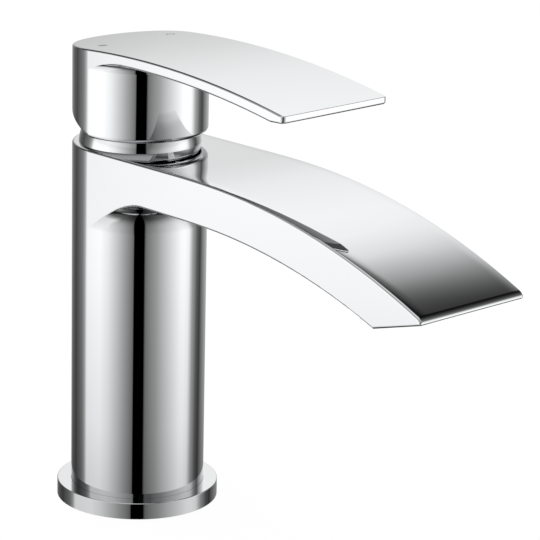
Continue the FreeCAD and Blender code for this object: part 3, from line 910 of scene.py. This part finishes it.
@dataclass
class Lever(SubAssembly):
    """Cap with its arched lever plate, and the pieces that move with it. Millimetres."""

    cap_radius: float = TapBody.column_radius
    cap_wall: float = 2.1
    cap_bottom: float = 121.8
    cap_edge: float = 1.5
    crown_x: float = 24.7
    crown_height: float = 151.0
    arch_radius: float = 339.0
    reach: float = 87.7
    thickness: float = 3.6
    nose_length: float = 5.5
    nose_rise: float = 1.4
    corner_radius: float = 1.6
    flare_radius: float = 3.6
    flare_lap: float = 0.05

    def skins(self) -> list[PlatedSkin]:
        """Skins of the plated pieces.

        Returns:
            The handle.
        """
        top = LevelRound(self.arch_radius, self.crown_x, self.crown_height - self.arch_radius)
        underside = top.under(self.thickness)
        root_x = self.cap_radius + self.flare_radius
        flare_z = top.height_at(root_x) - self.thickness + self.flare_lap - self.flare_radius
        corner_x = self.reach - self.corner_radius
        corner_y = self.cap_radius - self.corner_radius
        nose_x = self.reach - self.nose_length
        nose_z = underside.height_at(nose_x)
        tip_z = underside.height_at(self.reach) + self.nose_rise
        surfaces = [
            UprightRound(self.cap_radius),
            UprightRound(self.cap_radius - self.cap_wall, sense=-1.0),
            top,
            underside,
            Flat((0.0, self.cap_radius, 0.0), (0.0, 1.0, 0.0)),
            Flat((0.0, -self.cap_radius, 0.0), (0.0, -1.0, 0.0)),
            Flat((self.reach, 0.0, 0.0), (1.0, 0.0, 0.0)),
            UprightRound(self.corner_radius, corner_x, corner_y),
            UprightRound(self.corner_radius, corner_x, -corner_y),
            Flat((nose_x, 0.0, nose_z), (tip_z - nose_z, 0.0, -self.nose_length)),
            RoundedRing(self.cap_edge, self.cap_radius - self.cap_edge,
                        self.cap_bottom + self.cap_edge),
            RoundedRing(self.flare_radius, root_x, flare_z, sense=-1.0),
        ]
        return [HandleSkin("handle", "lever", surfaces, half_width=self.cap_radius,
                           reach=self.reach, corner=self.corner_radius, top=top)]

    def solids(self) -> dict[str, Finish]:
        """Pieces that keep their solids, and the finish of each."""
        return {
            "spindle": Finish.BRASS,
            "grub_screw": Finish.STEEL,
            "screw_plug": Finish.GREY_PLASTIC,
            "hot_mark": Finish.ENAMEL,
            "cold_mark": Finish.ENAMEL,
        }


class Cartridge(SubAssembly):
    """Ceramic disc cartridge and its nut, inside the column."""

    def solids(self) -> dict[str, Finish]:
        """Pieces that keep their solids, and the finish of each."""
        return {
            "retaining_nut": Finish.BRASS,
            "cartridge_housing": Finish.WHITE_PLASTIC,
            "housing_seal": Finish.RUBBER,
            "cartridge_base": Finish.WHITE_PLASTIC,
            "inlet_seals": Finish.RUBBER,
            "fixed_disc": Finish.CERAMIC,
            "moving_disc": Finish.CERAMIC,
            "disc_carrier": Finish.DARK_PLASTIC,
            "turret": Finish.DARK_PLASTIC,
            "spindle_pin": Finish.STEEL,
        }


def ramp(tree: Tree, angle: Socket, limit: float, stops: Stops) -> Socket:
    """Value by an angle.

    Args:
        tree: The world's node tree.
        angle: The angle in radians.
        limit: Largest angle either way, in degrees.
        stops: Angle in degrees and value there.

    Returns:
        Socket that carries the value.
    """
    place = add(tree, "ShaderNodeMapRange",
                {"Value": angle, "From Min": -math.radians(limit), "From Max": math.radians(limit)})
    node = add(tree, "ShaderNodeValToRGB", {"Fac": place.outputs["Result"]})
    set_ramp(node, [((degrees + limit) / (2 * limit), value) for degrees, value in stops])
    return node.outputs["Color"]


def leaned(tree: Tree, bearing: Socket, height: Socket, stops: Stops) -> Socket:
    """Bearing turned back by a lean that grows with height.

    Args:
        tree: The world's node tree.
        bearing: Bearing in radians.
        height: Height angle in radians.
        stops: Height in degrees and lean there, in degrees.

    Returns:
        Socket that carries the turned bearing.
    """
    lean = add(tree, "ShaderNodeMath",
               {0: ramp(tree, height, HEIGHT_LIMIT, stops), 1: math.radians(1.0)},
               operation="MULTIPLY")
    return add(tree, "ShaderNodeMath", {0: bearing, 1: lean.outputs["Value"]},
               operation="SUBTRACT").outputs["Value"]


def in_mirror(tree: Tree, path: Node) -> Socket:
    """Whether plating or glass sends the ray."""
    return add(tree, "ShaderNodeMath",
               {0: path.outputs["Is Glossy Ray"], 1: path.outputs["Is Transmission Ray"]},
               operation="MAXIMUM").outputs["Value"]


@dataclass(frozen=True)
class Bank:
    """Soft bank of light: its light by bearing from the camera and by height, in degrees.

    The lean turns the bank round as it rises, in degrees by height.
    """

    by_bearing: Stops
    by_height: Stops
    lean: Stops = ()

    def light(self, tree: Tree, bearing: Socket, height: Socket) -> Socket:
        """Light of the bank in a direction.

        Args:
            tree: The world's node tree.
            bearing: Bearing in radians.
            height: Height angle in radians.

        Returns:
            Socket that carries the light.
        """
        if self.lean:
            bearing = leaned(tree, bearing, height, self.lean)
        return add(tree, "ShaderNodeMath",
                   {0: ramp(tree, bearing, BEARING_LIMIT, self.by_bearing),
                    1: ramp(tree, height, HEIGHT_LIMIT, self.by_height)},
                   operation="MULTIPLY").outputs["Value"]


@dataclass
class Studio:
    """White sweep with banks of soft light, a dark gap at the camera, a floor and the camera."""

    camera_mm: tuple[float, float, float] = (703.6, -607.1, 347.8)
    aim_mm: tuple[float, float, float] = (28.05, 31.1, 75.85)
    roll_degrees: float = 1.24
    focal_pixels: float = 3025.0
    image_pixels: float = 540.0
    sensor_mm: float = 36.0
    clip_m: tuple[float, float] = (0.01, 50.0)
    bank_strength: float = 1.40
    room_strength: float = 0.65
    key_size_m: float = 1.6
    key_height_m: float = 1.5
    key_watts: float = 9.0
    floor_half_m: float = 6.0
    floor_drop_m: float = 0.0002
    floor_glow: float = 0.94
    floor_colour: str = "#505050"
    shade_reach_m: float = 0.4
    # Distance from the tap as a share of that reach, and how much light the floor gives there.
    shade: Stops = (
        (0.0, 0.66), (0.11, 0.68), (0.25, 0.81), (0.42, 0.88), (0.70, 0.98), (0.85, 1.0),
    )
    # Banks all round that brighten towards both sides, with dark flags behind them.
    ring: Bank = Bank(
        by_bearing=(
            (-180, 0.10), (-150, 0.10), (-135, 0.06), (-120, 0.14), (-113, 0.20), (-106, 0.40),
            (-101, 0.90), (-98, 0.98), (-70, 1.04), (-54, 0.87), (-46, 0.73), (-25, 0.37),
            (-11, 0.17), (0, 0.13), (11, 0.15), (16, 0.21), (30, 0.34), (44, 0.55), (76, 1.01),
            (84, 1.04), (94, 0.94), (104, 0.37), (117, 0.11), (131, 0.03), (150, 0.10), (180, 0.10),
        ),
        by_height=(
            (-90, 0.03), (-79, 0.07), (-67, 0.19), (-57, 0.50), (-46, 0.79), (-36, 0.88),
            (-20, 0.90), (-16, 0.92), (-13, 1.0), (-5, 1.0), (4, 0.96), (8, 0.83), (14, 0.82),
            (19, 0.72), (23, 0.38), (27, 0.13), (36, 0.06), (50, 0.03), (90, 0.02),
        ),
        lean=(
            (-90, 0.0), (-16, 0.0), (-13, 2.2), (5, 4.0), (8, 5.0), (12, 9.0), (20, 12.0),
            (90, 12.0),
        ),
    )
    # A white card low on the left.
    card: Bank = Bank(
        by_bearing=(
            (-180, 0.0), (-104, 0.0), (-96, 0.85), (-60, 0.90), (-50, 0.60), (-42, 0.28),
            (-36, 0.0), (180, 0.0),
        ),
        by_height=(
            (-90, 0.0), (-72, 0.0), (-63, 0.5), (-56, 1.0), (-28, 1.0), (-18, 0.0), (90, 0.0),
        ),
    )
    # The dark gap that the camera looks through: it leans with the banks and widens towards the
    # floor, where only a share of the bearing counts.
    gap: Stops = ((-180, 1.0), (-10, 1.0), (-8.5, 0.0), (9, 0.0), (10.5, 1.0), (180, 1.0))
    gap_lean: Stops = ((-90, 0.0), (-16, 0.0), (-13, 1.8), (90, 1.8))
    gap_shares: Stops = (
        (-90, 0.75), (-60, 0.78), (-46, 0.84), (-30, 0.93), (-16, 1.0), (90, 1.0),
    )
    # A soft bank overhead, and a dimmer one high over the front.
    overhead: Bank = Bank(
        by_bearing=((-180, 1.0), (180, 1.0)),
        by_height=((-90, 0.0), (53, 0.0), (60, 0.30), (68, 0.55), (90, 0.70)),
    )
    front: Bank = Bank(
        by_bearing=((-180, 0.0), (-122, 0.0), (-100, 1.0), (84, 1.0), (104, 0.0), (180, 0.0)),
        by_height=((-90, 0.0), (24, 0.0), (32, 0.34), (54, 0.40), (90, 0.40)),
    )
    # The sweep behind the tap.
    sweep: Bank = Bank(
        by_bearing=(
            (-180, 1.0), (-158, 0.42), (-140, 0.12), (-125, 0.0), (124, 0.0), (126, 0.05),
            (138, 0.45), (156, 0.85), (180, 1.0),
        ),
        by_height=(
            (-90, 0.02), (-30, 0.05), (-22, 0.30), (-15, 0.40), (2, 0.50), (8, 0.56), (12, 0.62),
            (16, 0.70), (20, 0.78), (30, 0.92), (34, 0.92), (37, 0.84), (40, 0.54), (42, 0.24),
            (47, 0.05), (90, 0.02),
        ),
    )
    # Over the tap the sweep ends on the right, by bearing; lower down, by height, it runs on.
    sweep_end: Stops = (
        (-180, 1.0), (-100, 1.0), (120, 0.10), (145, 0.15), (149, 0.25), (153, 0.46), (157, 0.72),
        (162, 0.94), (166, 1.0), (180, 1.0),
    )
    sweep_low: Stops = ((-90, 1.0), (24, 1.0), (31, 0.0), (90, 0.0))

    def build(self) -> None:
        """Make the camera, the light and the floor."""
        self.place_camera()
        self.light_world()
        self.hang_key()
        self.lay_floor()
        bpy.context.scene.view_settings.view_transform = "Standard"

    def place_camera(self) -> None:
        """Set the camera where the photograph was taken from."""
        eye, aim = Vector(self.camera_mm) * MM, Vector(self.aim_mm) * MM
        forward = (aim - eye).normalized()
        right = forward.cross(Vector((0.0, 0.0, 1.0))).normalized()
        up = right.cross(forward)
        roll = math.radians(self.roll_degrees)
        across = math.cos(roll) * right + math.sin(roll) * up
        over = -math.sin(roll) * right + math.cos(roll) * up
        lens = bpy.data.cameras.new("studio_camera")
        lens.sensor_width = self.sensor_mm
        lens.lens = self.focal_pixels * self.sensor_mm / self.image_pixels
        lens.clip_start, lens.clip_end = self.clip_m
        camera = bpy.data.objects.new("studio_camera", lens)
        camera.matrix_world = Matrix((
            (across.x, over.x, -forward.x, eye.x),
            (across.y, over.y, -forward.y, eye.y),
            (across.z, over.z, -forward.z, eye.z),
            (0.0, 0.0, 0.0, 1.0),
        ))
        bpy.context.scene.collection.objects.link(camera)
        bpy.context.scene.camera = camera

    def light_world(self) -> None:
        """Light the tap from a ring of banks and a sweep behind it.

        The camera sees plain white, plating and glass see the banks, and dull surfaces get the
        same light spread evenly.
        """
        world = bpy.data.worlds.new("studio")
        bpy.context.scene.world = world
        world.use_nodes = True
        tree = world.node_tree
        tree.nodes.clear()
        banks = add(tree, "ShaderNodeBackground",
                    {"Color": self.bank_light(tree), "Strength": self.bank_strength})
        white = add(tree, "ShaderNodeBackground", {"Color": linear(WHITE), "Strength": 1.0})
        room = add(tree, "ShaderNodeBackground",
                   {"Color": linear(WHITE), "Strength": self.room_strength})
        path = add(tree, "ShaderNodeLightPath")
        around = add(tree, "ShaderNodeMixShader",
                     {0: in_mirror(tree, path), 1: room.outputs["Background"],
                      2: banks.outputs["Background"]})
        seen = add(tree, "ShaderNodeMixShader",
                   {0: path.outputs["Is Camera Ray"], 1: around.outputs["Shader"],
                    2: white.outputs["Background"]})
        add(tree, "ShaderNodeOutputWorld", {"Surface": seen.outputs["Shader"]})

    def bank_light(self, tree: Tree) -> Socket:
        """Light of the brightest bank in each direction.

        Args:
            tree: The world's node tree.

        Returns:
            Socket that carries the light.
        """
        turn = -math.atan2(self.camera_mm[1], self.camera_mm[0])
        way = add(tree, "ShaderNodeVectorRotate",
                  {"Vector": add(tree, "ShaderNodeTexCoord").outputs["Generated"], "Angle": turn},
                  rotation_type="Z_AXIS")
        axes = add(tree, "ShaderNodeSeparateXYZ", {"Vector": way.outputs["Vector"]}).outputs
        bearing = add(tree, "ShaderNodeMath", {0: axes["Y"], 1: axes["X"]},
                      operation="ARCTAN2").outputs["Value"]
        height = add(tree, "ShaderNodeMath", {0: axes["Z"]}, operation="ARCSINE").outputs["Value"]
        narrowed = add(tree, "ShaderNodeMath",
                       {0: leaned(tree, bearing, height, self.gap_lean),
                        1: ramp(tree, height, HEIGHT_LIMIT, self.gap_shares)},
                       operation="MULTIPLY").outputs["Value"]
        gap = ramp(tree, narrowed, BEARING_LIMIT, self.gap)
        end = add(tree, "ShaderNodeMath",
                  {0: ramp(tree, bearing, BEARING_LIMIT, self.sweep_end),
                   1: ramp(tree, height, HEIGHT_LIMIT, self.sweep_low)},
                  operation="MAXIMUM").outputs["Value"]
        brightest: Socket | float = 0.0
        for bank, kept in ((self.ring, gap), (self.card, gap), (self.sweep, end),
                           (self.overhead, 1.0), (self.front, 1.0)):
            light = add(tree, "ShaderNodeMath", {0: bank.light(tree, bearing, height), 1: kept},
                        operation="MULTIPLY").outputs["Value"]
            brightest = add(tree, "ShaderNodeMath", {0: brightest, 1: light},
                            operation="MAXIMUM").outputs["Value"]
        return brightest

    def hang_key(self) -> None:
        """Hang one wide soft lamp over the tap for the pieces that are not plated."""
        lamp = bpy.data.lights.new("overhead_soft", "AREA")
        lamp.shape = "DISK"
        lamp.size = self.key_size_m
        lamp.energy = self.key_watts
        hung = bpy.data.objects.new("overhead_soft", lamp)
        hung.location = (0.0, 0.0, self.key_height_m)
        hung.visible_glossy = False
        hung.visible_camera = False
        bpy.context.scene.collection.objects.link(hung)

    def lay_floor(self) -> None:
        """Lay a pale floor under the tap."""
        half = self.floor_half_m
        mesh = bpy.data.meshes.new("floor")
        corners = [(-half, -half, 0.0), (half, -half, 0.0), (half, half, 0.0), (-half, half, 0.0)]
        mesh.from_pydata(corners, [], [range(len(corners))])
        mesh.materials.append(self.floor_material())
        floor = bpy.data.objects.new("floor", mesh)
        floor.location.z = -self.floor_drop_m
        bpy.context.scene.collection.objects.link(floor)

    def floor_material(self) -> Material:
        """White to the camera, with the tap's faint shadow.

        Plating sees the banks through the floor, dimmed near the tap, where the tap shades it.

        Returns:
            The new material.
        """
        material = bpy.data.materials.new("floor_white")
        material.use_nodes = True
        tree = material.node_tree
        tree.nodes.clear()
        matte = add(tree, "ShaderNodeBsdfDiffuse", {"Color": linear(self.floor_colour)})
        path = add(tree, "ShaderNodeLightPath")
        glow = add(tree, "ShaderNodeMath", {0: path.outputs["Is Camera Ray"], 1: self.floor_glow},
                   operation="MULTIPLY")
        shine = add(tree, "ShaderNodeEmission", {"Strength": glow.outputs["Value"]})
        both = add(tree, "ShaderNodeAddShader",
                   {0: matte.outputs["BSDF"], 1: shine.outputs["Emission"]})
        place = add(tree, "ShaderNodeTexCoord").outputs["Object"]
        away = add(tree, "ShaderNodeVectorMath", {0: place}, operation="LENGTH")
        share = add(tree, "ShaderNodeMath", {0: away.outputs["Value"], 1: self.shade_reach_m},
                    operation="DIVIDE")
        shade = add(tree, "ShaderNodeValToRGB", {"Fac": share.outputs["Value"]})
        set_ramp(shade, self.shade)
        through = add(tree, "ShaderNodeBsdfTransparent", {"Color": shade.outputs["Color"]})
        seen = add(tree, "ShaderNodeMixShader",
                   {0: in_mirror(tree, path), 1: both.outputs["Shader"],
                    2: through.outputs["BSDF"]})
        add(tree, "ShaderNodeOutputMaterial", {"Surface": seen.outputs["Shader"]})
        return material


def main() -> None:
    """Build the tap's looks in order."""
    logging.basicConfig(level=logging.INFO, format="%(name)s: %(message)s")
    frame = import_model()
    finishes = {finish: recipe.material() for finish, recipe in RECIPES.items()}
    for part in (TapBody(), Lever(), Cartridge()):
        part.build(frame, finishes)
    Studio().build()


if __name__ == "__main__":
    main()
